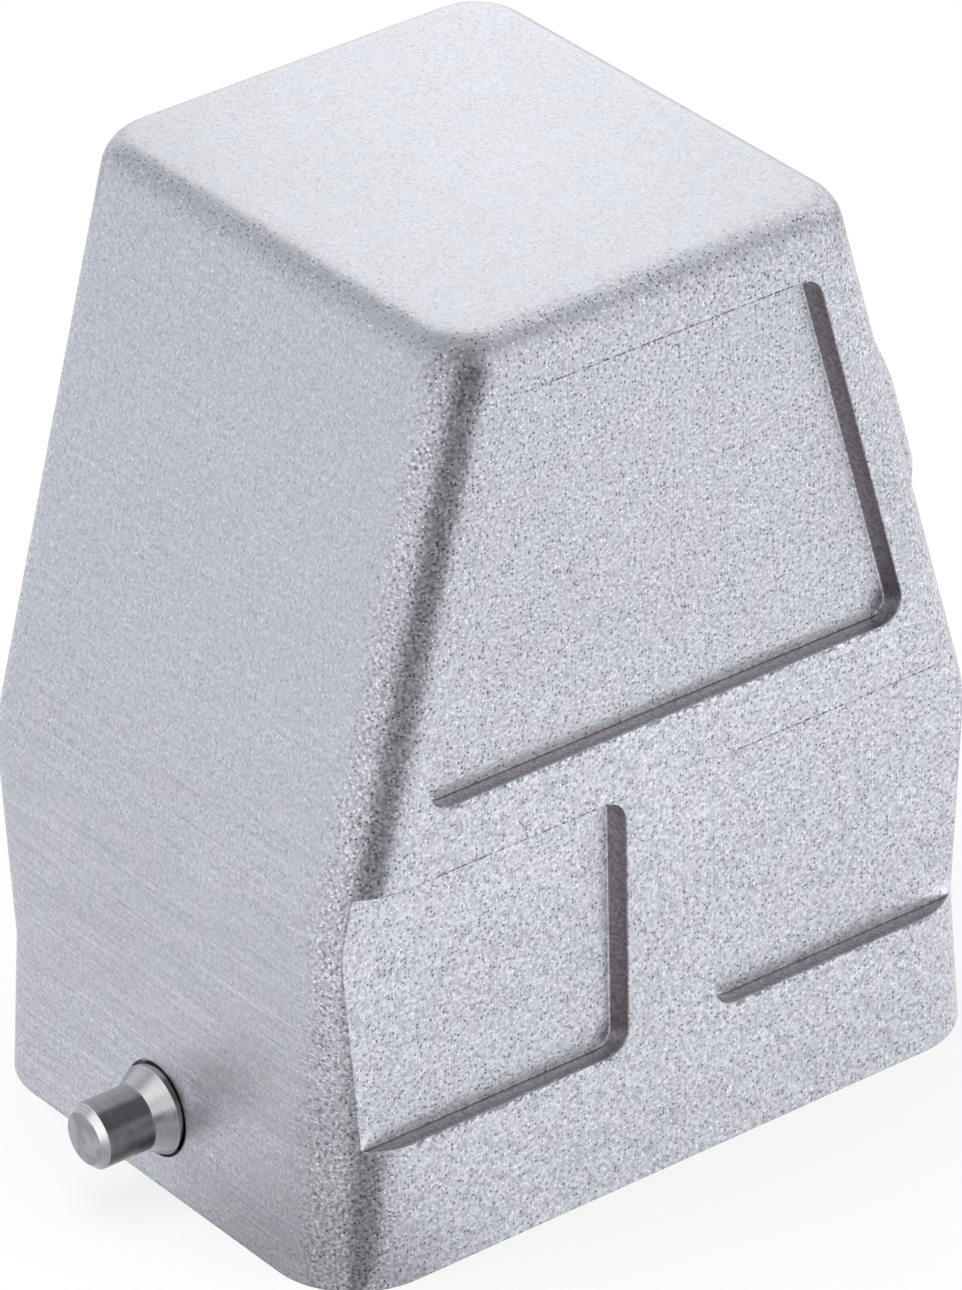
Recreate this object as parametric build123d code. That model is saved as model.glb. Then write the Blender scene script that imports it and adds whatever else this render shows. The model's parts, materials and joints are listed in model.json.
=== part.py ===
from build123d import *
import math
import os

# Heavy-duty connector hood: a die-cast shell with an open rim, a tapped side cable entry and two
# steel locking pegs. Millimetres, +Z up. The origin is the centre of the rim, which is the mating face.
# X runs along the hood. The cable entry is on the +X end wall, which slopes above the shoulder.

# Outer form, from rim to roof
RIM_LENGTH = 60.0
RIM_WIDTH = 43.5
SKIRT_HEIGHT = 11.0
SKIRT_CORNER = 6.9
WAIST_LENGTH = 58.5
WAIST_HEIGHT = 26.5
SHOULDER_HEIGHT = 28.4
SHOULDER_RADIUS = 11.0
UPPER_CORNER = 5.0
HOOD_HEIGHT = 72.0
ROOF_LENGTH = 35.2
ROOF_WIDTH = 43.3
ROOF_EDGE_RADIUS = 3.2

# Walls and cavity
WALL = 3.0
END_WALL = 3.0
ROOF_THICKNESS = 3.2
CAVITY_CORNER = 3.5
CEILING_CHAMFER = 1.2
RIM_LEAD_IN = 0.8

# Recess panels on the long sides. The side walls of a panel lean more than its level walls.
PANEL_DEPTH = 1.4
PANEL_CORNER = 1.9
PANEL_SIDE_RUN = 0.65
PANEL_LEVEL_RUN = 0.12
UPPER_PANEL_TOP = 67.1
UPPER_PANEL_BOTTOM = 37.2
UPPER_PANEL_MARGIN = 5.4
LOWER_PANEL_TOP = 32.1
LOWER_PANEL_BOTTOM = 11.3
CENTRE_BAR_WIDTH = 7.8

# Cable entry: a raised pad square to the sloping end wall, with a bore for a metric gland thread.
# The bore has the thread's major diameter, and the thread's crests would stand inside it. The pad is
# a disc with a flat towards each long side. It is as wide as the flat part of the slope allows.
ENTRY_SLOPE_SHARE = 0.45
ENTRY_PAD_RISE = 2.4
ENTRY_PAD_EDGE = 0.7
ENTRY_PAD_FLARE = 0.8
ENTRY_PAD_FLAT_DEPTH = 0.45
ENTRY_PAD_ROOT = 1.5
ENTRY_BORE_DIAMETER = 25.0
ENTRY_BORE_LENGTH = 9.0
ENTRY_INNER_PAD_WIDTH = 30.0
ENTRY_CHAMFER = 0.8

# Columns in the corners of the cavity, tapped for the screws of the contact insert
INSERT_SPACING_X = 44.0
INSERT_SPACING_Y = 27.0
COLUMN_FACE_HEIGHT = 11.0
COLUMN_DIAMETER = 8.4
INSERT_TAP_DIAMETER = 3.3
INSERT_TAP_DEPTH = 12.0

# Locking pegs on the end walls. PEG_REACH is from the hood's middle to the peg's tip.
PEG_HEIGHT = 6.0
PEG_DIAMETER = 5.0
PEG_REACH = 35.8
PEG_TIP_CHAMFER = 0.5
PEG_COLLAR_DIAMETER = 6.8
PEG_COLLAR_STANDOFF = 0.3
PEG_FLARE_LENGTH = 1.5
PEG_SEAT_CLEARANCE = 0.2
PEG_SEAT_DEPTH = 0.9
PEG_SHANK_DIAMETER = 4.0
PEG_TAIL_DIAMETER = 5.6

# How far a cutting solid runs past the face that it opens, and the least length that counts
OVERCUT = 1.0
FINE = 0.001

SLOPE_ANGLE = math.atan((WAIST_LENGTH - ROOF_LENGTH) / 2 / (HOOD_HEIGHT - SHOULDER_HEIGHT))
SLOPE_INSET = END_WALL / math.cos(SLOPE_ANGLE)
CAVITY_HALF_LENGTH = WAIST_LENGTH / 2 - END_WALL
CAVITY_HALF_WIDTH = RIM_WIDTH / 2 - WALL
CEILING_HEIGHT = HOOD_HEIGHT - ROOF_THICKNESS
ENTRY_HEIGHT = SHOULDER_HEIGHT + ENTRY_SLOPE_SHARE * (HOOD_HEIGHT - SHOULDER_HEIGHT)


def share_between(low, high, value):
    """How far a value lies on the way from low to high, from 0 to 1."""
    return (value - low) / (high - low)


def half_width(height):
    """Outer half width: even up to the waist's top, then drawn in a little to the roof."""
    if height <= WAIST_HEIGHT:
        return RIM_WIDTH / 2
    share = share_between(WAIST_HEIGHT, HOOD_HEIGHT, height)
    return (RIM_WIDTH + (ROOF_WIDTH - RIM_WIDTH) * share) / 2


def skirt_half_length(height):
    """Outer half length of the skirt that flares to the rim."""
    share = share_between(0, SKIRT_HEIGHT, height)
    return (RIM_LENGTH + (WAIST_LENGTH - RIM_LENGTH) * share) / 2


def slope_half_length(height):
    """Outer half length of the sloping part above the shoulder."""
    return WAIST_LENGTH / 2 - (height - SHOULDER_HEIGHT) * math.tan(SLOPE_ANGLE)


def level_section(height, half_length, half_width_here, corner):
    """Rounded rectangle that lies level at a height."""
    return Plane.XY.offset(height) * RectangleRounded(2 * half_length, 2 * half_width_here, corner)


def crossed_outlines(along, across):
    """Solid with one outline seen from a long side and another seen from an end.

    Each outline is a list of (half size, height) from bottom to top, mirrored to the other half.
    """
    crossed = None
    for plane, outline in ((Plane.XZ, along), (Plane.YZ, across)):
        right = [(half, height) for half, height in outline]
        left = [(-half, height) for half, height in reversed(outline)]
        slab = extrude(plane * make_face(Polyline(*right, *left, close=True)), RIM_LENGTH, both=True)
        crossed = slab if crossed is None else crossed & slab
    return crossed


def level_end_edges(solid, height):
    """Edges that run level across the ends of a solid at a height."""
    found = []
    for edge in solid.edges().filter_by(Axis.Y):
        if abs(edge.center().Z - height) < FINE:
            found.append(edge)
    return found


def climbing_edges(solid):
    """Edges that climb, which are the ones between the long sides and the ends."""
    return [edge for edge in solid.edges() if abs(edge.position_at(0).Z - edge.position_at(1).Z) > FINE]


def make_upper_body():
    """Shoulder, slope and roof, with rounded corners and a rounded roof edge."""
    along = [
        (WAIST_LENGTH / 2, WAIST_HEIGHT),
        (WAIST_LENGTH / 2, SHOULDER_HEIGHT),
        (ROOF_LENGTH / 2, HOOD_HEIGHT),
    ]
    across = [(RIM_WIDTH / 2, WAIST_HEIGHT), (ROOF_WIDTH / 2, HOOD_HEIGHT)]
    body = crossed_outlines(along, across)
    body = fillet(level_end_edges(body, SHOULDER_HEIGHT), SHOULDER_RADIUS)
    body = fillet(climbing_edges(body), UPPER_CORNER)
    return fillet(body.edges().group_by(Axis.Z)[-1], ROOF_EDGE_RADIUS)


def make_outer_body():
    """Closed outer form: flared skirt, waist, rounded shoulder, slope and rounded roof edge."""
    rim = level_section(0, RIM_LENGTH / 2, RIM_WIDTH / 2, SKIRT_CORNER)
    skirt_top = level_section(SKIRT_HEIGHT, WAIST_LENGTH / 2, RIM_WIDTH / 2, SKIRT_CORNER)
    upper_body = make_upper_body()
    waist_top = upper_body.faces().sort_by(Axis.Z)[0]
    return upper_body + loft([skirt_top, waist_top], ruled=True) + loft([rim, skirt_top], ruled=True)


def panel_outline(side, corners, corner_radius, depth):
    """Rounded polygon of (x, z) corners, laid parallel to the long side's face at a depth under it."""
    low = min(height for x, height in corners)
    high = max(height for x, height in corners)
    lean = math.atan((half_width(low) - half_width(high)) / (high - low))
    plane = Plane(
        origin=(0, side * (half_width(low) - depth), low),
        x_dir=(1, 0, 0),
        z_dir=(0, -math.cos(lean), -side * math.sin(lean)),
    )
    outline = make_face(Polyline(*[(x, height - low) for x, height in corners], close=True))
    return plane * fillet(outline.vertices(), corner_radius)


def recess_cutter(side, mouth, floor):
    """Shallow tray that is wide at its mouth and smaller at its floor."""
    mouth_face = panel_outline(side, mouth, PANEL_CORNER, 0)
    floor_face = panel_outline(side, floor, PANEL_CORNER - PANEL_SIDE_RUN, PANEL_DEPTH)
    tray = loft([floor_face, mouth_face], ruled=True)
    return tray + extrude(mouth_face, OVERCUT, dir=(0, side, 0))


def upper_panel_corners(side_inset, level_inset):
    """Corners of the upper panel, whose sides follow the slope of the end walls."""
    bottom = UPPER_PANEL_BOTTOM + level_inset
    top = UPPER_PANEL_TOP - level_inset
    bottom_half = slope_half_length(bottom) - UPPER_PANEL_MARGIN - side_inset
    top_half = slope_half_length(top) - UPPER_PANEL_MARGIN - side_inset
    return [(-bottom_half, bottom), (bottom_half, bottom), (top_half, top), (-top_half, top)]


def lower_panel_corners(end, side_inset, level_inset):
    """Corners of a lower panel, which runs out over the rounded corner at its outer end."""
    inner = end * (CENTRE_BAR_WIDTH / 2 + side_inset)
    outer = end * (RIM_LENGTH / 2 + PANEL_CORNER + OVERCUT)
    bottom = LOWER_PANEL_BOTTOM + level_inset
    top = LOWER_PANEL_TOP - level_inset
    return [(inner, bottom), (outer, bottom), (outer, top), (inner, top)]


def make_panel_cutters():
    """The three recess panels on each long side."""
    cutters = []
    for side in (-1, 1):
        mouth = upper_panel_corners(0, 0)
        floor = upper_panel_corners(PANEL_SIDE_RUN, PANEL_LEVEL_RUN)
        cutters.append(recess_cutter(side, mouth, floor))
        for end in (-1, 1):
            mouth = lower_panel_corners(end, 0, 0)
            floor = lower_panel_corners(end, PANEL_SIDE_RUN, PANEL_LEVEL_RUN)
            cutters.append(recess_cutter(side, mouth, floor))
    return cutters


def entry_plane(rise):
    """Plane square to the cable entry's axis, at a rise above the sloping end wall."""
    outward = Vector(math.cos(SLOPE_ANGLE), 0, math.sin(SLOPE_ANGLE))
    foot = Vector(slope_half_length(ENTRY_HEIGHT), 0, ENTRY_HEIGHT)
    return Plane(origin=foot + outward * rise, x_dir=(0, 1, 0), z_dir=outward)


def entry_pad_profile(half):
    """(distance from the axis, rise) corners of the pad: flared foot, wall and chamfered edge."""
    return [
        (0, -ENTRY_PAD_ROOT),
        (half + ENTRY_PAD_FLARE, -ENTRY_PAD_ROOT),
        (half + ENTRY_PAD_FLARE, 0),
        (half, ENTRY_PAD_FLARE),
        (half, ENTRY_PAD_RISE - ENTRY_PAD_EDGE),
        (half - ENTRY_PAD_EDGE, ENTRY_PAD_RISE),
        (0, ENTRY_PAD_RISE),
    ]


def make_entry_pad():
    """Raised pad round the cable entry: a turned disc crossed with a bar, whose sides are the flats."""
    flat_half = half_width(ENTRY_HEIGHT) - UPPER_CORNER - ENTRY_PAD_FLARE
    disc_half = flat_half + ENTRY_PAD_FLAT_DEPTH
    disc = revolve(Plane.XZ * make_face(Polyline(*entry_pad_profile(disc_half), close=True)), Axis.Z)
    bar_side = make_face(Polyline(*entry_pad_profile(flat_half), close=True))
    bar_half = extrude(Plane.XZ * bar_side, 2 * disc_half, both=True)
    return entry_plane(0) * (disc & (bar_half + mirror(bar_half, about=Plane.YZ)))


def make_entry_inner_pad():
    """Thick wall behind the bore. It runs up to the roof, so that the core can be drawn down."""
    inner_face = entry_plane(ENTRY_PAD_RISE - ENTRY_BORE_LENGTH)
    upright = Pos(0, HOOD_HEIGHT / 2) * Rectangle(ENTRY_INNER_PAD_WIDTH, HOOD_HEIGHT)
    outline = Circle(ENTRY_INNER_PAD_WIDTH / 2) + upright
    return extrude(inner_face * outline, ENTRY_BORE_LENGTH)


def make_entry_cutter():
    """Bore of the cable entry with a chamfered mouth."""
    bore = extrude(
        entry_plane(ENTRY_PAD_RISE + OVERCUT) * Circle(ENTRY_BORE_DIAMETER / 2),
        -(ENTRY_BORE_LENGTH + ENTRY_PAD_RISE + ENTRY_BORE_DIAMETER / 2),
    )
    mouth_radius = ENTRY_BORE_DIAMETER / 2 + ENTRY_CHAMFER
    mouth = loft(
        [
            entry_plane(ENTRY_PAD_RISE - ENTRY_CHAMFER) * Circle(mouth_radius - ENTRY_CHAMFER),
            entry_plane(ENTRY_PAD_RISE) * Circle(mouth_radius),
        ],
        ruled=True,
    )
    return bore + mouth + extrude(entry_plane(ENTRY_PAD_RISE) * Circle(mouth_radius), OVERCUT)


def insert_screw_places():
    """Centres of the four screws of the contact insert."""
    places = []
    for x in (-INSERT_SPACING_X / 2, INSERT_SPACING_X / 2):
        for y in (-INSERT_SPACING_Y / 2, INSERT_SPACING_Y / 2):
            places.append((x, y))
    return places


def make_columns():
    """Corner columns that fill from their screw faces up into the slope and the roof."""
    columns = []
    radius = COLUMN_DIAMETER / 2
    length = HOOD_HEIGHT - COLUMN_FACE_HEIGHT
    for x, y in insert_screw_places():
        end = math.copysign(1, x)
        side = math.copysign(1, y)
        run_x = CAVITY_HALF_LENGTH + OVERCUT - abs(x)
        run_y = CAVITY_HALF_WIDTH + OVERCUT - abs(y)
        to_end = Rectangle(run_x, run_y + radius)
        to_side = Rectangle(run_x + radius, run_y)
        outline = Pos(x, y) * Circle(radius)
        outline += Pos(x + end * run_x / 2, y + side * (run_y - radius) / 2) * to_end
        outline += Pos(x + end * (run_x - radius) / 2, y + side * run_y / 2) * to_side
        columns.append(extrude(Plane.XY.offset(COLUMN_FACE_HEIGHT) * outline, length))
    return columns


def make_cavity_core():
    """Solid that fills the hood's inside, as the mould's core does."""
    bend_rise = (CAVITY_HALF_LENGTH + SLOPE_INSET - WAIST_LENGTH / 2) / math.tan(SLOPE_ANGLE)
    bend_height = SHOULDER_HEIGHT - bend_rise
    along = [
        (CAVITY_HALF_LENGTH, -OVERCUT),
        (CAVITY_HALF_LENGTH, bend_height),
        (slope_half_length(CEILING_HEIGHT) - SLOPE_INSET, CEILING_HEIGHT),
    ]
    across = [(CAVITY_HALF_WIDTH, -OVERCUT), (half_width(CEILING_HEIGHT) - WALL, CEILING_HEIGHT)]
    core = crossed_outlines(along, across)
    core = fillet(level_end_edges(core, bend_height), SHOULDER_RADIUS - END_WALL)
    core = fillet(climbing_edges(core), CAVITY_CORNER)
    core = chamfer(core.edges().group_by(Axis.Z)[-1], CEILING_CHAMFER)
    core += make_lead_in()
    for column in make_columns():
        core -= column
    return core - make_entry_inner_pad()


def make_lead_in():
    """Flare that chamfers the cavity's mouth at the rim. It starts below the rim and ends in the cavity."""
    sections = []
    for height, spread in ((-OVERCUT, RIM_LEAD_IN + OVERCUT), (2 * RIM_LEAD_IN, -RIM_LEAD_IN)):
        half_length = CAVITY_HALF_LENGTH + spread
        half_width_here = CAVITY_HALF_WIDTH + spread
        sections.append(level_section(height, half_length, half_width_here, CAVITY_CORNER + spread))
    return loft(sections, ruled=True)


def make_insert_taps():
    """Blind cast holes in the columns, which the insert's screws form their thread in."""
    taps = []
    for x, y in insert_screw_places():
        mouth = Plane.XY.offset(COLUMN_FACE_HEIGHT - OVERCUT) * Pos(x, y) * Circle(INSERT_TAP_DIAMETER / 2)
        taps.append(extrude(mouth, OVERCUT + INSERT_TAP_DEPTH))
    return taps


def peg_stations():
    """Distances from the hood's middle of the peg's collar rim, seat face and tail."""
    collar_rim = skirt_half_length(PEG_HEIGHT) + PEG_COLLAR_STANDOFF
    seat = skirt_half_length(PEG_HEIGHT) - PEG_SEAT_DEPTH
    return collar_rim, seat, CAVITY_HALF_LENGTH


def turned_about_peg_axis(corners):
    """Solid turned about the peg's axis from (distance along +X, radius) corners."""
    profile = Plane.XY * make_face(Polyline(*corners, close=True))
    return Pos(0, 0, PEG_HEIGHT) * revolve(profile, Axis.X)


def make_peg():
    """Steel locking peg for the +X end: pin, flared collar, shank and upset tail."""
    collar_rim, seat, tail = peg_stations()
    pin = PEG_DIAMETER / 2
    shank = PEG_SHANK_DIAMETER / 2
    collar = PEG_COLLAR_DIAMETER / 2
    tail_radius = PEG_TAIL_DIAMETER / 2
    return turned_about_peg_axis(
        [
            (tail, 0),
            (tail, tail_radius),
            (tail + tail_radius - shank, shank),
            (seat, shank),
            (seat, collar),
            (collar_rim, collar),
            (collar_rim + PEG_FLARE_LENGTH, pin),
            (PEG_REACH - PEG_TIP_CHAMFER, pin),
            (PEG_REACH, pin - PEG_TIP_CHAMFER),
            (PEG_REACH, 0),
        ]
    )


def make_peg_seat_cutter():
    """Stepped hole for the +X peg, with a ring of clearance round its collar."""
    collar_rim, seat, tail = peg_stations()
    shank = PEG_SHANK_DIAMETER / 2
    recess = PEG_COLLAR_DIAMETER / 2 + PEG_SEAT_CLEARANCE
    tail_radius = PEG_TAIL_DIAMETER / 2
    return turned_about_peg_axis(
        [
            (tail - OVERCUT, 0),
            (tail - OVERCUT, tail_radius),
            (tail, tail_radius),
            (tail + tail_radius - shank, shank),
            (seat, shank),
            (seat, recess),
            (collar_rim + PEG_FLARE_LENGTH, recess),
            (collar_rim + PEG_FLARE_LENGTH, 0),
        ]
    )


def make_hood_casting():
    """The die-cast shell, one piece."""
    casting = make_outer_body() + make_entry_pad()
    for cutter in make_panel_cutters():
        casting -= cutter
    casting -= make_cavity_core()
    casting -= make_entry_cutter()
    for tap in make_insert_taps():
        casting -= tap
    seat_cutter = make_peg_seat_cutter()
    casting -= seat_cutter
    casting -= mirror(seat_cutter, about=Plane.YZ)
    return casting


def main():
    os.makedirs("parts", exist_ok=True)
    peg = make_peg()
    parts = {
        "hood_casting": make_hood_casting(),
        "locking_peg_right": peg,
        "locking_peg_left": mirror(peg, about=Plane.YZ),
    }
    for name, part in parts.items():
        box = part.bounding_box()
        print(name, round(part.volume, 1), "mm3", box.min, box.max, "valid", part.is_valid)
        export_step(part, f"parts/{name}.step")


if __name__ == "__main__":
    main()
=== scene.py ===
import json
import math
import bmesh
import bpy
from mathutils import Matrix, Vector


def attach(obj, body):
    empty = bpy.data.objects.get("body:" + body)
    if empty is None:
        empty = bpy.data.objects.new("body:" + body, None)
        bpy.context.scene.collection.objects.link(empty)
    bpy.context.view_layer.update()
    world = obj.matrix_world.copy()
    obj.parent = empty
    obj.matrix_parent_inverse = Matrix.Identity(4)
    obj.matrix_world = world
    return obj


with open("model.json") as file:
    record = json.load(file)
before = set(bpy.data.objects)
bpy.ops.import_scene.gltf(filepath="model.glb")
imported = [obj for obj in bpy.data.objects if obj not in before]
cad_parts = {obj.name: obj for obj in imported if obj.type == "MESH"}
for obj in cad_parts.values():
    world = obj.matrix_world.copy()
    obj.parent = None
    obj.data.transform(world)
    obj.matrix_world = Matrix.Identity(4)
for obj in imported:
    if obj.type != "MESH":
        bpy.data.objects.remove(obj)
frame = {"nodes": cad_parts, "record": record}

bl_info = {
    "name": "Connector Hood",
    "version": (1, 0, 0),
    "blender": (4, 5, 0),
    "location": "View3D > Sidebar > Hood",
    "description": "Dresses the packed connector hood: blasted casting, turned pegs, gland thread and stage",
    "category": "Object",
}

MM = 0.001

# The photograph's frame and the camera that was fitted to it: degrees, millimetres and pixels per millimetre
IMAGE_WIDTH = 962
IMAGE_HEIGHT = 1290
SENSOR_WIDTH = 36.0
CAMERA_AZIMUTH = -37.13
CAMERA_ELEVATION = 30.40
CAMERA_ROLL = -1.215
CAMERA_DISTANCE = 716.1
CAMERA_SCALE = 14.118
CAMERA_CENTRE = (478.18, 608.25)
CAMERA_TARGET_HEIGHT = 36.0

# Sizes of the casting that the finishes and the thread follow, in millimetres
ENTRY_MOUNT = next(mount for mount in frame["record"]["mounts"] if mount["name"] == "cable_entry")
PEG_HEIGHT = 6.0
RIM_HALF_WIDTH = 21.75
ROOF_HALF_WIDTH = 21.65
WAIST_HALF_LENGTH = 29.25
WAIST_HEIGHT = 26.5
SHOULDER_HEIGHT = 28.4
HOOD_HEIGHT = 72.0
ROOF_HALF_LENGTH = 17.6
CORNER_REACH = 4.6
PANEL_DEPTH = 1.4
BAR_HALF_WIDTH = 3.9
UPPER_PANEL_TOP = 67.1
UPPER_PANEL_BOTTOM = 37.2
LOWER_PANEL_TOP = 32.1
LOWER_PANEL_BOTTOM = 11.3

# Strength of the grain, the pits and the sparks on each place of the casting
GRAIN_UNREST = {"side": 1.0, "end": 0.52, "level": 0.3, "corner": 0.75}
PIT_DEPTHS = {"side": 0.72, "end": 0.27, "level": 0.24, "roof_edge": 0.30, "corner": 0.30}
SPARK_HEIGHTS = {"side": 0.68, "end": 0.38, "level": 0.07, "roof_edge": 0.35, "corner": 0.80}

# Tones against the plain casting, where 1 changes nothing: the darkest grain, then painted shade and painted
# highlights
DARKEST_TONE = 0.30
WALL_SHADE_TONES = (0.36, 0.60)
CREVICE_SHADE_TONE = 0.50
STRIP_HIGHLIGHT_TONE = 1.55
ROOF_EDGE_SHADE_TONE = 0.82
MIRROR_HIGHLIGHT_TONE = 1.16
TIP_SHADE_TONE = 0.80

# Tints against the plain casting, and the two colours of the thread's bare metal
NO_TINT = (1.0, 1.0, 1.0)
CORNER_TINT = (1.02, 0.976, 0.988)
LOW_END_TINT = (0.975, 0.955, 0.925)
WARM_STAIN = (1.0, 0.988, 0.990)
COOL_STAIN = (0.988, 1.0, 0.998)
THREAD_DARK = (0.60, 0.605, 0.61)
THREAD_LIGHT = (0.70, 0.70, 0.71)
THREAD_ROUGHNESS = 0.32

# Recess walls, which carry painted shade: how squarely a wall faces its axis, how far the shade's edge wanders and
# the painted highlight strip over it, in millimetres
FACING_A_WALL = (0.45, 0.7)
RAGGED_EDGE = 0.16
LEVEL_WALL_SHARE = 0.85
STRIP_HEIGHT = 1.6

# The spot of the end walls that mirrors the pin and carries a painted highlight, from the pin's axis, in millimetres
MIRROR_ASIDE = 5.5
MIRROR_ABOVE = 3.6
MIRROR_REACH = 6.0

# Steps per metre along X and Y that turn the roof's painted light towards its back corner
ROOF_SHORT_STEP = 30.0
ROOF_LONG_STEP = 40.0

# The range in which most of a noise lies, and the rounding samples of the edges
GRAIN_MIDDLE = (0.3, 0.7)
BEVEL_SAMPLES = 6

# Widths of the thread's rib at its foot and crest and its hold in the wall, as shares of the pitch
FOOT_SHARE = 0.42
CREST_SHARE = 0.08
SUNK_SHARE = 0.06

# Directions, as azimuths in degrees, between which the metal sees the dim room behind the camera
ROOM_LEFT = -53.0
ROOM_RIGHT = -3.0
ROOM_BLUR = 5.0

# Parts of the floor that the metal sees dim: the room's sector and a round patch, in millimetres
SECTOR_TIP = (-27.0, -19.5)
PATCH_CENTRE = (-34.0, -17.0)
PATCH_RADIUS = 24.0
PATCH_CORE = 6.0
PATCH_SHARE = 0.62
DIM_FLOOR = 0.28

# Strengths of what the metal and the plain surfaces get from the world, and the bright sheet behind the hood
SHEET_AZIMUTH = 128.0
SHEET_ELEVATION = 38.0
SHEET_STRENGTH = 1.32
HIGH_SKY = 0.70
SOFT_FILL = 0.6
FLOOR_COLOUR = (0.95, 0.95, 0.95)
WHITE = (1.0, 1.0, 1.0)

# Name, place and size in metres, and share of the lamp power of each softbox
SOFTBOXES = (
    ("overhead_softbox", (-0.05, 0.10, 0.75), 0.55, 1.0),
    ("left_softbox", (-0.75, 0.10, 0.35), 0.50, 1.0),
    ("right_softbox", (0.35, -0.70, 0.30), 0.50, 0.9),
)


class CastingFinish(bpy.types.PropertyGroup):
    """Colours and grain of the die-cast shell."""

    colour: bpy.props.FloatVectorProperty(
        name="Casting colour",
        description="Colour of the bare blasted aluminium",
        subtype="COLOR",
        size=3,
        min=0.0,
        max=1.0,
        default=(0.578, 0.591, 0.645),
    )
    end_colour: bpy.props.FloatVectorProperty(
        name="End wall colour",
        description="Colour of the ground end walls",
        subtype="COLOR",
        size=3,
        min=0.0,
        max=1.0,
        default=(0.528, 0.546, 0.616),
    )
    roof_colour: bpy.props.FloatVectorProperty(
        name="Roof colour",
        description="Colour of the roof, a little less cool than the sides",
        subtype="COLOR",
        size=3,
        min=0.0,
        max=1.0,
        default=(0.578, 0.590, 0.628),
    )
    # Tint of the painted shade on the recess walls
    wall_shade_colour: bpy.props.FloatVectorProperty(
        name="Recess wall colour",
        description="Colour of the dull walls of the recess panels",
        subtype="COLOR",
        size=3,
        min=0.0,
        max=1.0,
        default=(0.61, 0.565, 0.60),
    )
    roughness: bpy.props.FloatProperty(
        name="Roughness",
        description="Average roughness of the blasted surface",
        default=0.32,
        min=0.0,
        max=1.0,
        subtype="FACTOR",
    )
    grain_size: bpy.props.FloatProperty(
        name="Grain size",
        description="Width of one grain of the blasted surface",
        default=0.00027,
        min=0.00005,
        max=0.002,
        unit="LENGTH",
    )
    grain_height: bpy.props.FloatProperty(
        name="Grain height",
        description="Height of the grain in the bump",
        default=0.000018,
        min=0.0,
        max=0.0005,
        unit="LENGTH",
    )
    edge_radius: bpy.props.FloatProperty(
        name="Edge radius",
        description="Radius that the blasting leaves on the crisp edges",
        default=0.00025,
        min=0.0,
        max=0.001,
        unit="LENGTH",
    )


class PegFinish(bpy.types.PropertyGroup):
    """Colours and marks of the turned pegs."""

    colour: bpy.props.FloatVectorProperty(
        name="Steel colour",
        description="Colour of the turned steel",
        subtype="COLOR",
        size=3,
        min=0.0,
        max=1.0,
        default=(0.73, 0.735, 0.80),
    )
    pin_colour: bpy.props.FloatVectorProperty(
        name="Pin colour",
        description="Colour of the pins' ground cylinders, a little warmer",
        subtype="COLOR",
        size=3,
        min=0.0,
        max=1.0,
        default=(0.76, 0.72, 0.72),
    )
    roughness: bpy.props.FloatProperty(
        name="Roughness",
        description="Average roughness of the turned steel",
        default=0.22,
        min=0.0,
        max=1.0,
        subtype="FACTOR",
    )
    mark_pitch: bpy.props.FloatProperty(
        name="Turning mark pitch",
        description="Distance between the turning marks",
        default=0.00012,
        min=0.00002,
        max=0.001,
        unit="LENGTH",
    )


class EntryThread(bpy.types.PropertyGroup):
    """Sizes of the gland thread in the cable entry."""

    pitch: bpy.props.FloatProperty(
        name="Pitch",
        description="Distance between the turns of the gland thread",
        default=0.0015,
        min=0.0005,
        max=0.004,
        unit="LENGTH",
    )
    depth: bpy.props.FloatProperty(
        name="Thread depth",
        description="How far the thread's crests stand in from the bore's wall",
        default=0.0008,
        min=0.0001,
        max=0.003,
        unit="LENGTH",
    )
    steps: bpy.props.IntProperty(
        name="Steps per turn",
        description="Number of faces in one turn of the thread",
        default=96,
        min=12,
        max=256,
    )


class StageLook(bpy.types.PropertyGroup):
    """Floor, backdrop and lamps."""

    floor_size: bpy.props.FloatProperty(
        name="Floor size",
        description="Side of the square floor",
        default=4.0,
        min=0.5,
        max=20.0,
        unit="LENGTH",
    )
    shadow_share: bpy.props.FloatProperty(
        name="Shadow share",
        description="How much of the floor's brightness comes from the lamps and so takes a shadow",
        default=0.25,
        min=0.0,
        max=1.0,
        subtype="FACTOR",
    )
    lamp_power: bpy.props.FloatProperty(
        name="Lamp power",
        description="Power of the overhead softbox, which the side softboxes follow",
        default=2.1,
        min=0.0,
        max=100.0,
        unit="POWER",
    )


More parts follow.
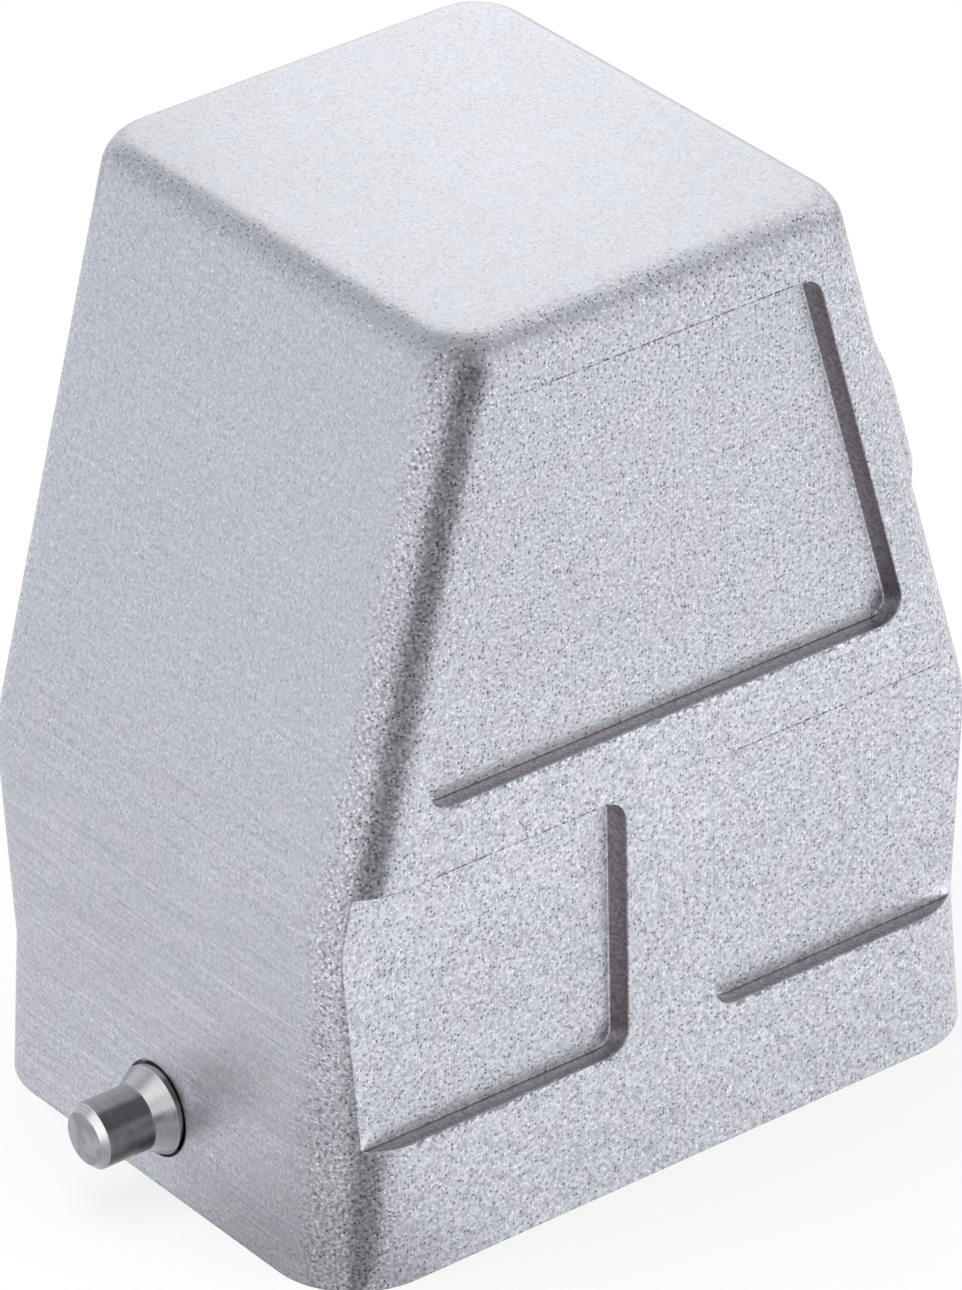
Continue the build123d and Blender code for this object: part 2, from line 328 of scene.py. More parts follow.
class Graph:
    """Short way to build a node tree."""

    def __init__(self, tree):
        self.tree = tree
        tree.nodes.clear()

    def node(self, kind, inputs=None, **settings):
        made = self.tree.nodes.new(kind)
        for name, value in settings.items():
            setattr(made, name, value)
        for key, value in (inputs or {}).items():
            self.feed(made.inputs[key], value)
        return made

    def feed(self, socket, value):
        if isinstance(value, bpy.types.NodeSocket):
            self.tree.links.new(value, socket)
        else:
            socket.default_value = value

    def math(self, operation, *values):
        made = self.node("ShaderNodeMath", operation=operation)
        for socket, value in zip(made.inputs, values):
            self.feed(socket, value)
        return made.outputs[0]

    def plus(self, first, second):
        return self.math("ADD", first, second)

    def minus(self, first, second):
        return self.math("SUBTRACT", first, second)

    def times(self, first, *others):
        for other in others:
            first = self.math("MULTIPLY", first, other)
        return first

    def line(self, value, low, high, out_low, out_high, **settings):
        """Straight line from out_low at low to out_high at high, level beyond them."""
        inputs = {"Value": value, "From Min": low, "From Max": high, "To Min": out_low, "To Max": out_high}
        return self.node("ShaderNodeMapRange", inputs, **settings).outputs["Result"]

    def ramp(self, value, low, high, out_low=0.0, out_high=1.0):
        """As line, with a soft start and end."""
        return self.line(value, low, high, out_low, out_high, interpolation_type="SMOOTHSTEP")

    def between(self, share, tone):
        """1 where the share is 0, and the tone where it is 1."""
        return self.line(share, 0.0, 1.0, 1.0, tone)

    def mix(self, factor, first, second):
        made = self.node("ShaderNodeMix", {"Factor": factor}, data_type="FLOAT")
        self.feed(made.inputs[2], first)
        self.feed(made.inputs[3], second)
        return made.outputs[0]

    def mix_colour(self, factor, first, second, blend_type="MIX"):
        made = self.node("ShaderNodeMix", data_type="RGBA", blend_type=blend_type)
        self.feed(made.inputs["Factor"], factor)
        self.feed(made.inputs[6], first)
        self.feed(made.inputs[7], second)
        return made.outputs[2]

    def tinted(self, colour, tint):
        return self.mix_colour(1.0, colour, tint, "MULTIPLY")

    def grey(self, tone):
        return self.node("ShaderNodeCombineColor", {0: tone, 1: tone, 2: tone}).outputs[0]

    def noise(self, spot, scale, **settings):
        inputs = {"Vector": spot, "Scale": scale, **settings}
        return self.node("ShaderNodeTexNoise", inputs).outputs["Fac"]

    def metal(self, colour, roughness, bump):
        """Ends the tree in a bare metal."""
        inputs = {"Base Color": colour, "Metallic": 1.0, "Roughness": roughness, "Normal": bump.outputs[0]}
        shader = self.node("ShaderNodeBsdfPrincipled", inputs)
        self.node("ShaderNodeOutputMaterial", {"Surface": shader.outputs[0]})


def new_material(name):
    """Empty node material and its graph."""
    material = bpy.data.materials.new(name)
    material.use_nodes = True
    return material, Graph(material.node_tree)


def rgba(colour):
    return (colour[0], colour[1], colour[2], 1.0)


def depth_under_side(g, where):
    """How deep a point lies under the face of the nearest long side."""
    across = g.math("ABSOLUTE", where.outputs["Y"])
    face = g.line(where.outputs["Z"], WAIST_HEIGHT * MM, HOOD_HEIGHT * MM, RIM_HALF_WIDTH * MM, ROOF_HALF_WIDTH * MM)
    return g.minus(face, across)


def recess_floor_share(g, depth):
    """1 on the floors of the recess panels and 0 on the outer faces."""
    deep = g.ramp(depth, (PANEL_DEPTH - 0.3) * MM, (PANEL_DEPTH - 0.1) * MM)
    return g.times(deep, g.ramp(depth, (PANEL_DEPTH + 0.35) * MM, (PANEL_DEPTH + 0.15) * MM))


def painted_wall_shade_share(g, where, facing, depth, grain):
    """1 on the walls of the recess panels, which carry painted shade, and 0 elsewhere."""
    height = where.outputs["Z"]
    along = g.math("ABSOLUTE", where.outputs["X"])
    under_face = g.ramp(depth, 0.02 * MM, 0.15 * MM)
    in_recess = g.times(under_face, g.ramp(depth, 1.25 * PANEL_DEPTH * MM, 1.1 * PANEL_DEPTH * MM))
    end = g.line(
        height,
        SHOULDER_HEIGHT * MM,
        HOOD_HEIGHT * MM,
        (WAIST_HALF_LENGTH - CORNER_REACH) * MM,
        (ROOF_HALF_LENGTH - CORNER_REACH) * MM,
    )
    clear_of_corner = g.ramp(g.minus(end, along), 0.0, 0.1 * MM)
    side_wall = g.ramp(g.math("ABSOLUTE", facing.outputs["X"]), *FACING_A_WALL)
    side_wall = g.times(side_wall, clear_of_corner)
    level_wall = g.ramp(g.math("ABSOLUTE", facing.outputs["Z"]), *FACING_A_WALL)
    below_roof_edge = g.ramp(height, (UPPER_PANEL_TOP + 0.9) * MM, (UPPER_PANEL_TOP + 0.5) * MM)
    level_wall = g.times(level_wall, below_roof_edge)
    ragged_depth = g.plus(depth, g.line(grain, *GRAIN_MIDDLE, -RAGGED_EDGE * MM, RAGGED_EDGE * MM))
    level_wall = g.times(level_wall, g.ramp(ragged_depth, 0.12 * MM, 0.24 * MM))
    walls = g.math("MAXIMUM", side_wall, g.times(level_wall, LEVEL_WALL_SHARE))
    return g.times(walls, in_recess)


def level_line(g, where, height, thickness):
    """Thin level line at a height, 1 in its middle."""
    off = g.math("ABSOLUTE", g.minus(where.outputs["Z"], height * MM))
    return g.ramp(off, thickness * MM, 0.3 * thickness * MM)


def level_pair(g, where, heights, lift, thickness, reaches=None):
    """Level lines at two heights, each limited to its own reach along the side."""
    lines = [level_line(g, where, height + lift, thickness) for height in heights]
    if reaches:
        lines = [g.times(line, reach) for line, reach in zip(lines, reaches)]
    return g.math("MAXIMUM", *lines)


def pin_mirror_highlight(g, where):
    """Share of the round spot of each end wall that mirrors the dark pin beside it, which a painted highlight
    lightens.
    """
    outward = g.math("SIGN", where.outputs["X"])
    aside = g.minus(g.times(where.outputs["Y"], outward), MIRROR_ASIDE * MM)
    above = g.minus(where.outputs["Z"], (PEG_HEIGHT + MIRROR_ABOVE) * MM)
    away = g.math("SQRT", g.plus(g.times(aside, aside), g.times(above, above)))
    return g.ramp(away, MIRROR_REACH * MM, 0.5 * MM)


def painted_strip_highlight(g, where, depth):
    """Share of the painted highlight strip on the recess floors just over their bottom walls, which offsets their
    dark reflection.
    """
    strips = []
    for foot in (UPPER_PANEL_BOTTOM, LOWER_PANEL_BOTTOM):
        over = g.minus(where.outputs["Z"], (foot + 0.15) * MM)
        strips.append(g.times(g.ramp(over, STRIP_HEIGHT * MM, 0.2 * MM), g.ramp(over, -0.1 * MM, 0.1 * MM)))
    return g.times(g.math("MAXIMUM", *strips), recess_floor_share(g, depth))


def panel_edge_lines(g, where, facing, depth):
    """Thin lines of painted shade along the panels' top edges, of painted shade and highlight along their bottom
    edges, and of painted shade in the crevices over their bottom walls.
    """
    along = g.math("ABSOLUTE", where.outputs["X"])
    on_face = g.ramp(depth, 0.3 * MM, 0.15 * MM)
    beyond_bar = g.ramp(along, (BAR_HALF_WIDTH + 1.0) * MM, (BAR_HALF_WIDTH + 1.8) * MM)
    top_reaches = (g.ramp(along, 12.4 * MM, 11.6 * MM), beyond_bar)
    bottom_reaches = (g.ramp(along, 19.6 * MM, 19.0 * MM), beyond_bar)
    panel_tops = (UPPER_PANEL_TOP, LOWER_PANEL_TOP)
    panel_bottoms = (UPPER_PANEL_BOTTOM, LOWER_PANEL_BOTTOM)
    tops = g.times(level_pair(g, where, panel_tops, 0.06, 0.12, top_reaches), on_face)
    bottoms = g.times(level_pair(g, where, panel_bottoms, -0.12, 0.2, bottom_reaches), on_face)
    crevices = g.times(level_pair(g, where, panel_bottoms, 0.12, 0.18), recess_floor_share(g, depth))
    crevices = g.times(crevices, g.ramp(g.math("ABSOLUTE", facing.outputs["X"]), 0.5, 0.2))
    return tops, bottoms, crevices


def painted_roof_light(g, where, roof_share):
    """Painted light and shade of the roof: a little darker towards the near edges and at the side corners."""
    x, y = where.outputs["X"], where.outputs["Y"]
    to_back = g.plus(g.times(x, ROOF_SHORT_STEP), g.times(y, ROOF_LONG_STEP))
    to_side = g.minus(g.times(x, ROOF_LONG_STEP), g.times(y, ROOF_SHORT_STEP))
    tone = g.plus(g.times(to_back, 0.045), g.times(to_side, 0.028))
    tone = g.minus(tone, g.times(to_back, to_back, 0.015))
    tone = g.minus(tone, g.times(to_side, to_side, 0.078))
    return g.plus(g.times(tone, roof_share), 1.0)


def blast_marks(g, spot, scale, low, high):
    """Scattered round marks of the blasting, each 1 in its middle, some deeper than others."""
    cells = g.node("ShaderNodeTexVoronoi", {"Vector": spot, "Scale": scale})
    chance = g.node("ShaderNodeSeparateColor", {0: cells.outputs["Color"]}).outputs[0]
    dot = g.ramp(cells.outputs["Distance"], 0.44, 0.16)
    return g.times(dot, g.ramp(chance, low, high))


def drawn_noise(g, spot, scale, **settings):
    """Noise that is stretched differently along each axis, for scratches."""
    drawn = g.node("ShaderNodeMapping", {"Vector": spot, "Scale": scale})
    inputs = {"Vector": drawn.outputs[0], "Scale": 1.0, **settings}
    return g.node("ShaderNodeTexNoise", inputs).outputs["Fac"]


def by_place(g, shares, weights):
    """Sum of the shares of the casting's places, each times its weight."""
    total = None
    for place, weight in weights.items():
        part = g.times(shares[place], weight)
        total = part if total is None else g.plus(total, part)
    return total


def blasted_aluminium(look):
    """Bare casting: pitted and sparkling blasted grain, ground end walls with fine level scratches, and painted
    shade and highlights on the recess panels, the roof, its edge and the corners.
    """
    material, g = new_material("blasted_aluminium")
    place = g.node("ShaderNodeTexCoord")
    spot = place.outputs["Object"]
    facing = g.node("ShaderNodeSeparateXYZ", {0: place.outputs["Normal"]})
    where = g.node("ShaderNodeSeparateXYZ", {0: spot})
    height, upwards = where.outputs["Z"], facing.outputs["Z"]
    end_on = g.times(facing.outputs["X"], facing.outputs["X"])
    side_on = g.times(facing.outputs["Y"], facing.outputs["Y"])
    level = g.times(upwards, upwards)
    on_corner = g.times(end_on, side_on)
    corner = g.ramp(on_corner, 0.03, 0.2)
    roof_edge = g.times(g.ramp(upwards, 0.20, 0.70), g.ramp(upwards, 0.97, 0.86))
    roof_edge = g.times(roof_edge, g.ramp(height, 67.0 * MM, 68.5 * MM))
    shares = {"side": side_on, "end": end_on, "level": level, "roof_edge": roof_edge, "corner": corner}

    # Grain, pits and sparks of the blasting
    pits = blast_marks(g, spot, 0.92 / look.grain_size, 0.25, 0.8)
    sparks = blast_marks(g, spot, 1.04 / look.grain_size, 0.4, 0.9)
    grain = g.noise(spot, 1.0 / look.grain_size, Detail=0.6, Roughness=0.5)
    clouds = g.noise(spot, 60.0, Detail=3.0, Roughness=0.55)
    unrest = by_place(g, shares, GRAIN_UNREST)
    tone = g.plus(g.times(g.line(grain, 0.25, 0.75, -0.28, 0.28), unrest), 1.03)
    tone = g.minus(tone, g.times(pits, by_place(g, shares, PIT_DEPTHS)))
    tone = g.plus(tone, g.times(sparks, by_place(g, shares, SPARK_HEIGHTS)))
    tone = g.math("MAXIMUM", tone, DARKEST_TONE)
    tone = g.times(tone, g.ramp(clouds, *GRAIN_MIDDLE, 0.975, 1.025))

    # Level scratches low on the ground end walls
    all_round = g.plus(g.plus(end_on, side_on), g.times(level, 0.15))
    end_share = g.ramp(g.math("DIVIDE", end_on, all_round), 0.45, 0.85)
    ground_share = g.times(end_share, g.ramp(height, 50.0 * MM, 18.0 * MM))
    scratches = drawn_noise(g, spot, (60.0, 110.0, 6500.0), Detail=2.0, Roughness=0.6)
    long_scratches = drawn_noise(g, spot, (30.0, 55.0, 4600.0), Detail=0.0)
    scratch_tone = g.line(scratches, *GRAIN_MIDDLE, -0.12, 0.12)
    scratch_tone = g.plus(scratch_tone, g.ramp(long_scratches, 0.69, 0.77, 0.0, 0.13))
    tone = g.times(tone, g.plus(g.times(scratch_tone, ground_share), 1.0))

    # Recess panels: painted shade on the walls, painted highlight strips over the bottom walls and thin lines of
    # painted shade and highlight at their edges
    depth = depth_under_side(g, where)
    walls = painted_wall_shade_share(g, where, facing, depth, grain)
    # Painted shade on the recess walls, a little lighter towards their floors
    wall_shade_tone = g.times(g.line(grain, *GRAIN_MIDDLE, *WALL_SHADE_TONES), g.ramp(depth, 0.3 * MM, 0.9 * MM, 0.84, 1.04))
    tone = g.plus(g.times(tone, g.minus(1.0, walls)), g.times(walls, wall_shade_tone))
    tops, bottoms, crevices = panel_edge_lines(g, where, facing, depth)
    # Painted shade in the crevices over the bottom walls
    tone = g.times(tone, g.between(crevices, CREVICE_SHADE_TONE))
    # Painted highlight strip over the bottom walls
    tone = g.times(tone, g.between(g.times(painted_strip_highlight(g, where, depth), side_on), STRIP_HIGHLIGHT_TONE))
    # Painted shade along the panels' top edges, broken by the grain
    tops = g.times(tops, g.ramp(grain, 0.56, 0.40, 0.15, 0.65))
    tone = g.times(tone, g.minus(1.0, tops))
    # Painted shade and painted highlight along the panels' bottom edges, broken by the grain
    bottom_edge_light_and_shade = g.line(g.ramp(grain, 0.42, 0.56), 0.0, 1.0, -0.40, 0.14)
    tone = g.times(tone, g.plus(g.times(bottoms, bottom_edge_light_and_shade), 1.0))

    # Slow changes of tone: a lighter band across the sides' middle with painted shade at their foot, painted shade
    # on the roof's edge, a painted highlight beside the pegs over the pins' dark reflection, painted shade at the
    # top of the corners, and the roof's painted light and shade
    # A lighter band across the sides' middle, and painted shade at their foot
    band = g.times(g.ramp(height, 18.0 * MM, 30.0 * MM), g.ramp(height, 46.0 * MM, 36.0 * MM))
    band = g.minus(g.times(band, 0.06), g.ramp(height, 9.0 * MM, 3.0 * MM, 0.0, 0.05))
    tone = g.times(tone, g.plus(g.times(band, side_on), 1.0))
    # Painted shade along the roof's edge
    tone = g.times(tone, g.between(roof_edge, ROOF_EDGE_SHADE_TONE))
    # Painted highlight on the end walls' spot that mirrors the dark pin
    tone = g.times(tone, g.between(g.times(pin_mirror_highlight(g, where), end_share), MIRROR_HIGHLIGHT_TONE))
    # Painted shade at the top of the corners
    corner_tip_shade = g.times(g.ramp(on_corner, 0.04, 0.14), g.ramp(height, 66.0 * MM, 69.5 * MM))
    tone = g.times(tone, g.between(corner_tip_shade, TIP_SHADE_TONE))
    roof_share = g.ramp(upwards, 0.75, 0.95)
    # Painted light and shade across the roof
    tone = g.times(tone, painted_roof_light(g, where, roof_share))

    # Tints of the places
    low_end = tuple(channel * share for channel, share in zip(look.end_colour, LOW_END_TINT))
    end_tint = g.mix_colour(g.ramp(height, 44.0 * MM, 14.0 * MM), rgba(look.end_colour), rgba(low_end))
    tint = g.mix_colour(end_share, rgba(look.colour), end_tint)
    tint = g.mix_colour(roof_share, tint, rgba(look.roof_colour))
    # Tint of the painted shade on the recess walls
    tint = g.mix_colour(walls, tint, rgba(look.wall_shade_colour))
    tint = g.tinted(tint, g.mix_colour(corner, rgba(NO_TINT), rgba(CORNER_TINT)))
    colour = g.tinted(tint, g.grey(tone))
    stain = g.noise(spot, 320.0, Detail=1.0)
    colour = g.tinted(colour, g.mix_colour(g.ramp(stain, 0.35, 0.65), rgba(WARM_STAIN), rgba(COOL_STAIN)))

    relief = g.minus(grain, g.times(pits, 0.5))
    relief = g.times(relief, g.ramp(ground_share, 0.0, 1.0, 1.0, 0.5))
    relief = g.plus(relief, g.times(g.times(scratches, ground_share), 0.35))
    edge = g.node("ShaderNodeBevel", {"Radius": look.edge_radius}, samples=BEVEL_SAMPLES)
    bump = g.node(
        "ShaderNodeBump",
        {"Strength": 1.0, "Distance": look.grain_height, "Height": relief, "Normal": edge.outputs[0]},
    )
    roughness = g.ramp(clouds, *GRAIN_MIDDLE, look.roughness - 0.03, look.roughness + 0.03)
    g.metal(colour, g.plus(roughness, g.times(end_share, 0.11)), bump)
    return material


def turned_steel(look):
    """Peg steel: turning marks round the peg's axis, which runs along X, with painted highlights and painted
    reflections.
    """
    material, g = new_material("turned_steel")
    place = g.node("ShaderNodeTexCoord")
    where = g.node("ShaderNodeSeparateXYZ", {0: place.outputs["Object"]})
    height = g.minus(where.outputs["Z"], PEG_HEIGHT * MM)
    side = where.outputs["Y"]
    radius = g.math("SQRT", g.plus(g.times(side, side), g.times(height, height)))
    along = g.plus(where.outputs["X"], g.times(radius, 1.7))
    line = g.node("ShaderNodeCombineXYZ", {"X": along})
    marks = g.noise(line.outputs[0], 0.6 / look.mark_pitch, Detail=2.0, Roughness=0.6)
    smudge = g.noise(place.outputs["Object"], 900.0, Detail=3.0)
    facing = g.node("ShaderNodeSeparateXYZ", {0: place.outputs["Normal"]})
    lengthways = g.math("ABSOLUTE", facing.outputs["X"])
    cut_end = g.ramp(lengthways, 0.85, 0.97)
    pin_share = g.ramp(lengthways, 0.3, 0.15)
    flank = g.times(g.minus(1.0, cut_end), g.minus(1.0, pin_share))

    # Painted highlight on the flanks of the collar and the end chamfer, brightest high on one side
    shine = g.math("DIVIDE", g.minus(g.times(height, 0.75), g.times(side, 0.66)), radius)
    flank_highlight = g.ramp(shine, 0.80, 1.0, 0.60, 1.45)
    # Painted reflections streak the ground pin lengthways: light along its top, dark below it, lighter again, dark
    # underneath
    turn = g.math("DIVIDE", g.plus(g.times(height, 0.806), g.times(side, 0.592)), radius)
    pin_reflection_tone = g.plus(g.ramp(turn, 0.44, 0.64, 0.27, 0.76), g.ramp(turn, 0.06, -0.20, 0.0, 0.33))
    pin_reflection_tone = g.minus(pin_reflection_tone, g.ramp(turn, -0.45, -0.78, 0.0, 0.46))
    marks_and_painted_light = g.plus(g.times(flank_highlight, flank), g.times(pin_reflection_tone, pin_share))
    marks_and_painted_light = g.times(marks_and_painted_light, g.ramp(marks, *GRAIN_MIDDLE, 0.86, 1.10))
    tone = g.mix(cut_end, marks_and_painted_light, g.ramp(smudge, 0.35, 0.65, 0.38, 0.54))
    tone = g.times(tone, g.ramp(smudge, *GRAIN_MIDDLE, 0.93, 1.05))
    steel_tint = g.mix_colour(pin_share, rgba(look.colour), rgba(look.pin_colour))
    edge = g.node("ShaderNodeBevel", {"Radius": 0.12 * MM}, samples=BEVEL_SAMPLES)
    bump = g.node(
        "ShaderNodeBump",
        {"Strength": 0.6, "Distance": 0.008 * MM, "Height": marks, "Normal": edge.outputs[0]},
    )
    roughness = g.ramp(smudge, *GRAIN_MIDDLE, look.roughness - 0.05, look.roughness + 0.06)
    g.metal(g.tinted(steel_tint, g.grey(tone)), g.plus(roughness, g.times(cut_end, 0.15)), bump)
    return material


def cut_thread_metal():
    """Bright machined aluminium of the gland thread."""
    material, g = new_material("cut_thread_metal")
    smudge = g.noise(g.node("ShaderNodeTexCoord").outputs["Object"], 1200.0, Detail=3.0)
    colour = g.mix_colour(g.ramp(smudge, *GRAIN_MIDDLE), rgba(THREAD_DARK), rgba(THREAD_LIGHT))
    bump = g.node("ShaderNodeBump", {"Strength": 0.4, "Distance": 0.01 * MM, "Height": smudge})
    g.metal(colour, THREAD_ROUGHNESS, bump)
    return material


def dress(node_name, material):
    """Gives a carried-over node one material and leaves its mesh as it is."""
    item = frame["nodes"][node_name]
    if not item.material_slots:
        item.data.materials.append(material)
    for slot in item.material_slots:
        slot.material = material


def add_object(name, bm, material):
    """Turns a bmesh into an object that sits at the origin, with its place in its mesh."""
    mesh = bpy.data.meshes.new(name)
    bm.to_mesh(mesh)
    bm.free()
    mesh.materials.append(material)
    item = bpy.data.objects.new(name, mesh)
    bpy.context.scene.collection.objects.link(item)
    return item


class HOOD_OT_casting(bpy.types.Operator):
    """Give the die-cast shell its blasted and ground finish"""

    bl_idname = "hood.casting"
    bl_label = "Casting finish"

    def execute(self, context):
        dress("hood_casting", blasted_aluminium(context.scene.hood_casting_finish))
        return {"FINISHED"}


class HOOD_OT_pegs(bpy.types.Operator):
    """Give the two locking pegs their turned finish"""

    bl_idname = "hood.pegs"
    bl_label = "Peg finish"

    def execute(self, context):
        steel = turned_steel(context.scene.hood_peg_finish)
        for name in ("locking_peg_left", "locking_peg_right"):
            dress(name, steel)
        return {"FINISHED"}


class HOOD_OT_entry_thread(bpy.types.Operator):
    """Cut the gland thread into the bore of the cable entry"""

    bl_idname = "hood.entry_thread"
    bl_label = "Gland thread"

    def execute(self, context):
        sizes = context.scene.hood_entry_thread
        axis = Vector(ENTRY_MOUNT["axis"]).normalized()
        middle = Vector(ENTRY_MOUNT["pos_m"])
        radius = ENTRY_MOUNT["dims"]["r_mm"] * MM
        length = ENTRY_MOUNT["dims"]["length_mm"] * MM
        foot = sizes.pitch * FOOT_SHARE
        crest = sizes.pitch * CREST_SHARE
        sunk = sizes.pitch * SUNK_SHARE
        turns = (length - 2 * foot) / sizes.pitch
        across = Vector((0.0, 1.0, 0.0))
        start = middle - axis * (length / 2 - foot)
        bm = bmesh.new()
        profile = []
        for out, along in ((sunk, -foot), (-sizes.depth, -crest), (-sizes.depth, crest), (sunk, foot)):
            profile.append(bm.verts.new(start + across * (radius + out) + axis * along))
        face = bm.faces.new(profile)
        count = round(turns * sizes.steps)
        bmesh.ops.spin(
            bm,
            geom=[face] + list(face.edges) + list(face.verts),
            cent=start,
            axis=axis,
            dvec=axis * (turns * sizes.pitch / count),
            angle=math.tau * turns,
            steps=count,
            use_merge=False,
            use_duplicate=False,
        )
        bmesh.ops.recalc_face_normals(bm, faces=bm.faces)
        thread = add_object("gland_thread", bm, cut_thread_metal())
        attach(thread, "root")
        return {"FINISHED"}


def heading(azimuth, elevation):
    """Direction from the hood, with the azimuth 0 at the near long side, both angles in degrees."""
    azimuth, elevation = math.radians(azimuth), math.radians(elevation)
    return Vector(
        (
            math.sin(azimuth) * math.cos(elevation),
            -math.cos(azimuth) * math.cos(elevation),
            math.sin(elevation),
        )
    )


def camera_axes():
    """Right, up and back of the photograph's camera."""
    roll = math.radians(CAMERA_ROLL)
    back = heading(CAMERA_AZIMUTH, CAMERA_ELEVATION)
    right = Vector((0, 0, 1)).cross(back).normalized()
    up = back.cross(right)
    turned_right = math.cos(roll) * right + math.sin(roll) * up
    turned_up = -math.sin(roll) * right + math.cos(roll) * up
    return turned_right, turned_up, back


def add_camera():
    """Camera at the photograph's viewing angle, with the small shift of its framing."""
    right, up, back = camera_axes()
    data = bpy.data.cameras.new("photo_camera")
    data.sensor_fit = "HORIZONTAL"
    data.sensor_width = SENSOR_WIDTH
    data.lens = SENSOR_WIDTH * CAMERA_SCALE * CAMERA_DISTANCE / IMAGE_WIDTH
    data.shift_x = (IMAGE_WIDTH / 2 - CAMERA_CENTRE[0]) / IMAGE_WIDTH
    data.shift_y = (CAMERA_CENTRE[1] - IMAGE_HEIGHT / 2) / IMAGE_WIDTH
    data.clip_start = 0.01
    data.clip_end = 50.0
    camera = bpy.data.objects.new("photo_camera", data)
    place = Matrix((right, up, back)).transposed().to_4x4()
    place.translation = Vector((0, 0, CAMERA_TARGET_HEIGHT * MM)) + back * CAMERA_DISTANCE * MM
    camera.matrix_world = place
    bpy.context.scene.collection.objects.link(camera)
    bpy.context.scene.camera = camera


def add_softbox(name, place, size, power):
    """Square area lamp that faces the middle of the hood."""
    data = bpy.data.lights.new(name, "AREA")
    data.shape = "SQUARE"
    data.size = size
    data.energy = power
    lamp = bpy.data.objects.new(name, data)
    target = Vector((0, 0, CAMERA_TARGET_HEIGHT * MM))
    place = Vector(place)
    turn = (place - target).to_track_quat("Z", "Y")
    lamp.matrix_world = Matrix.LocRotScale(place, turn, None)
    lamp.visible_glossy = False
    bpy.context.scene.collection.objects.link(lamp)


def room_share(g, right, back):
    """1 where a direction on the level plane points to the dim room behind the camera, else 0."""
    azimuth = g.times(g.math("ARCTAN2", right, g.times(back, -1.0)), 180.0 / math.pi)
    from_left = g.ramp(azimuth, ROOM_LEFT - ROOM_BLUR, ROOM_LEFT + ROOM_BLUR)
    return g.times(from_left, g.ramp(azimuth, ROOM_RIGHT + ROOM_BLUR, ROOM_RIGHT - ROOM_BLUR))


def floor_material(look):
    """Pale floor, shown white, that keeps a soft share of the hood's shadow."""
    material, g = new_material("pale_floor")
    rays = g.node("ShaderNodeLightPath")
    glossy = rays.outputs["Is Glossy Ray"]
    seen = g.math("MAXIMUM", rays.outputs["Is Camera Ray"], glossy)
    seen = g.math("MAXIMUM", seen, rays.outputs["Is Transmission Ray"])
    where = g.node("ShaderNodeSeparateXYZ", {0: g.node("ShaderNodeTexCoord").outputs["Object"]})
    x, y = where.outputs["X"], where.outputs["Y"]
    room = room_share(g, g.minus(x, SECTOR_TIP[0] * MM), g.minus(y, SECTOR_TIP[1] * MM))
    patch_x = g.minus(x, PATCH_CENTRE[0] * MM)
    patch_y = g.minus(y, PATCH_CENTRE[1] * MM)
    from_patch = g.math("SQRT", g.plus(g.times(patch_x, patch_x), g.times(patch_y, patch_y)))
    patch = g.times(g.ramp(from_patch, PATCH_RADIUS * MM, PATCH_CORE * MM), PATCH_SHARE)
    dim = g.times(g.math("MAXIMUM", room, patch), glossy)
    lit = g.node("ShaderNodeBsdfDiffuse", {"Color": rgba(FLOOR_COLOUR)})
    white = g.node("ShaderNodeEmission", {"Color": rgba(WHITE), "Strength": g.between(dim, DIM_FLOOR)})
    factor = g.plus(g.times(seen, 1.0 - look.shadow_share), g.times(glossy, look.shadow_share))
    both = g.node("ShaderNodeMixShader", {0: factor, 1: lit.outputs[0], 2: white.outputs[0]})
    g.node("ShaderNodeOutputMaterial", {"Surface": both.outputs[0]})
    return material


def studio_world():
    """White backdrop. The metal also sees a brighter sheet behind the hood and the dim room in front."""
    world = bpy.data.worlds.new("studio")
    world.use_nodes = True
    g = Graph(world.node_tree)
    rays = g.node("ShaderNodeLightPath")
    direction = g.node("ShaderNodeTexCoord").outputs["Generated"]
    parts = g.node("ShaderNodeSeparateXYZ", {0: direction})
    rise = parts.outputs["Z"]
    room = room_share(g, parts.outputs["X"], parts.outputs["Y"])
    room = g.times(room, g.ramp(rise, 0.95, 0.82))
    sheet_side = tuple(heading(SHEET_AZIMUTH, SHEET_ELEVATION))
    towards_sheet = g.node("ShaderNodeVectorMath", {0: direction, 1: sheet_side}, operation="DOT_PRODUCT")
    bright = g.ramp(towards_sheet.outputs["Value"], 0.60, 0.76)
    sky = g.ramp(rise, 0.45, 0.75, 1.0, HIGH_SKY)
    sky = g.plus(g.times(sky, g.minus(1.0, bright)), g.times(bright, SHEET_STRENGTH))
    dimness = g.ramp(rise, 0.12, 0.42, 0.80, 0.42)
    seen_by_metal = g.times(sky, g.minus(1.0, g.times(room, dimness)))
    glossy = rays.outputs["Is Glossy Ray"]
    plain = g.math("MAXIMUM", rays.outputs["Is Camera Ray"], rays.outputs["Is Transmission Ray"])
    soft = g.times(g.minus(1.0, g.math("MAXIMUM", plain, glossy)), SOFT_FILL)
    strength = g.plus(g.plus(plain, g.times(glossy, seen_by_metal)), soft)
    sheet = g.node("ShaderNodeBackground", {"Color": rgba(WHITE), "Strength": strength})
    g.node("ShaderNodeOutputWorld", {"Surface": sheet.outputs[0]})
    bpy.context.scene.world = world


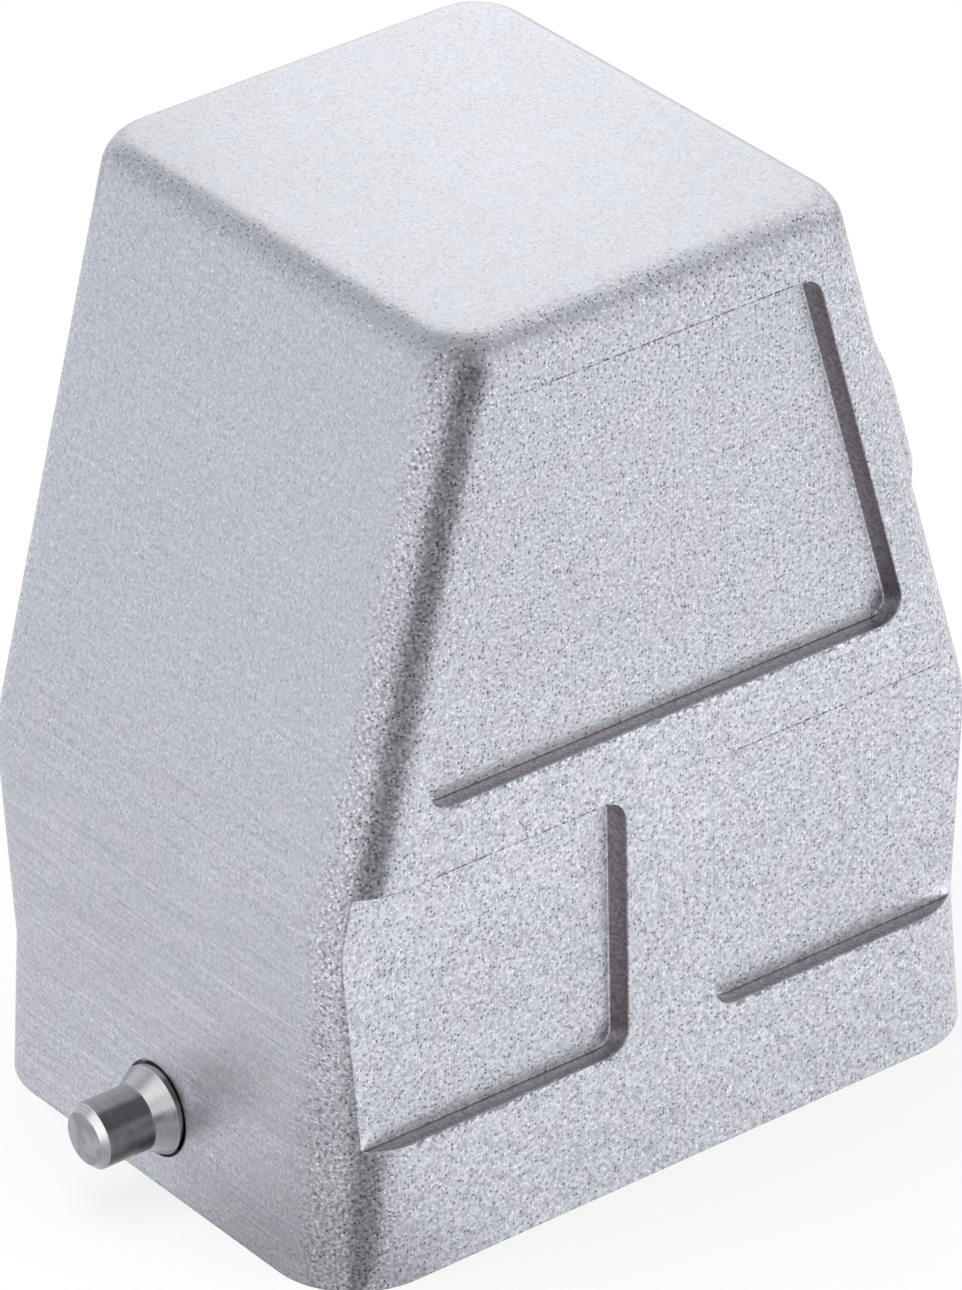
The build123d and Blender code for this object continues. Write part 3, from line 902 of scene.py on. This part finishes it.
class HOOD_OT_stage(bpy.types.Operator):
    """Set up the camera, the pale floor, the white backdrop and the softboxes"""

    bl_idname = "hood.stage"
    bl_label = "Stage"

    def execute(self, context):
        look = context.scene.hood_stage_look
        bm = bmesh.new()
        bmesh.ops.create_grid(bm, x_segments=1, y_segments=1, size=look.floor_size / 2)
        floor = add_object("floor", bm, floor_material(look))
        add_camera()
        studio_world()
        for name, place, size, share in SOFTBOXES:
            add_softbox(name, place, size, look.lamp_power * share)
        context.scene.view_settings.view_transform = "Standard"
        return {"FINISHED"}


class HOOD_PT_panel(bpy.types.Panel):
    """Lists the hood's pieces and the stage, with their sizes and colours."""

    bl_idname = "HOOD_PT_panel"
    bl_label = "Connector hood"
    bl_space_type = "VIEW_3D"
    bl_region_type = "UI"
    bl_category = "Hood"

    def draw(self, context):
        scene = context.scene
        groups = {
            "hood.casting": scene.hood_casting_finish,
            "hood.pegs": scene.hood_peg_finish,
            "hood.entry_thread": scene.hood_entry_thread,
            "hood.stage": scene.hood_stage_look,
        }
        for operator, settings in groups.items():
            box = self.layout.box()
            box.operator(operator)
            for name in settings.__annotations__:
                box.prop(settings, name)


CLASSES = (
    CastingFinish,
    PegFinish,
    EntryThread,
    StageLook,
    HOOD_OT_casting,
    HOOD_OT_pegs,
    HOOD_OT_entry_thread,
    HOOD_OT_stage,
    HOOD_PT_panel,
)


def register():
    for item in CLASSES:
        bpy.utils.register_class(item)
    bpy.types.Scene.hood_casting_finish = bpy.props.PointerProperty(type=CastingFinish)
    bpy.types.Scene.hood_peg_finish = bpy.props.PointerProperty(type=PegFinish)
    bpy.types.Scene.hood_entry_thread = bpy.props.PointerProperty(type=EntryThread)
    bpy.types.Scene.hood_stage_look = bpy.props.PointerProperty(type=StageLook)


def unregister():
    del bpy.types.Scene.hood_stage_look
    del bpy.types.Scene.hood_entry_thread
    del bpy.types.Scene.hood_peg_finish
    del bpy.types.Scene.hood_casting_finish
    for item in reversed(CLASSES):
        bpy.utils.unregister_class(item)


def main():
    register()
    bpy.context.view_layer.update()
    bpy.ops.hood.casting()
    bpy.ops.hood.pegs()
    bpy.ops.hood.entry_thread()
    bpy.ops.hood.stage()


if __name__ == "__main__":
    main()
